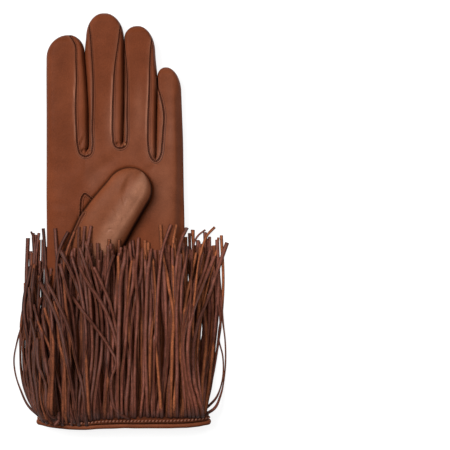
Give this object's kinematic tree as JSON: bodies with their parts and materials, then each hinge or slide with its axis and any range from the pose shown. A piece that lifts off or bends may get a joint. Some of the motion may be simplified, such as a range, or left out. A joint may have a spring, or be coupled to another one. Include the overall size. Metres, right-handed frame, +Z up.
{
  "type": "fringed lambskin dress glove, left hand",
  "caption": "Left-hand lambskin dress glove lying palm up, thumb folded over the palm, with finger gussets and a long leather fringe from the cuff.",
  "frame": {"origin": "middle of the footprint, on the surface that the glove lies on", "axes": "+Z up out of the palm, +Y from the cuff to the fingertips, +X from the index finger to the little finger"},
  "size_m": [0.1314, 0.2505, 0.0283],
  "materials": {
    "glove_leather": "smooth matt lambskin with a fine grain",
    "gusset_leather": "smooth matt lambskin with a fine grain",
    "cuff_leather": "smooth lambskin, rolled and stitched",
    "fringe_leather": "cut lambskin, smooth on one face and suede on the other"
  },
  "bodies": {
    "root": {"trank": "glove_leather", "gusset_index_middle": "gusset_leather", "gusset_middle_ring": "gusset_leather", "gusset_ring_little": "gusset_leather", "thumb": "glove_leather", "thumb_quirk": "gusset_leather", "cuff_band": "cuff_leather", "cuff_piping": "cuff_leather", "fringe_palm_side": "fringe_leather", "fringe_back_side": "fringe_leather"}
  },
  "joints": []
}
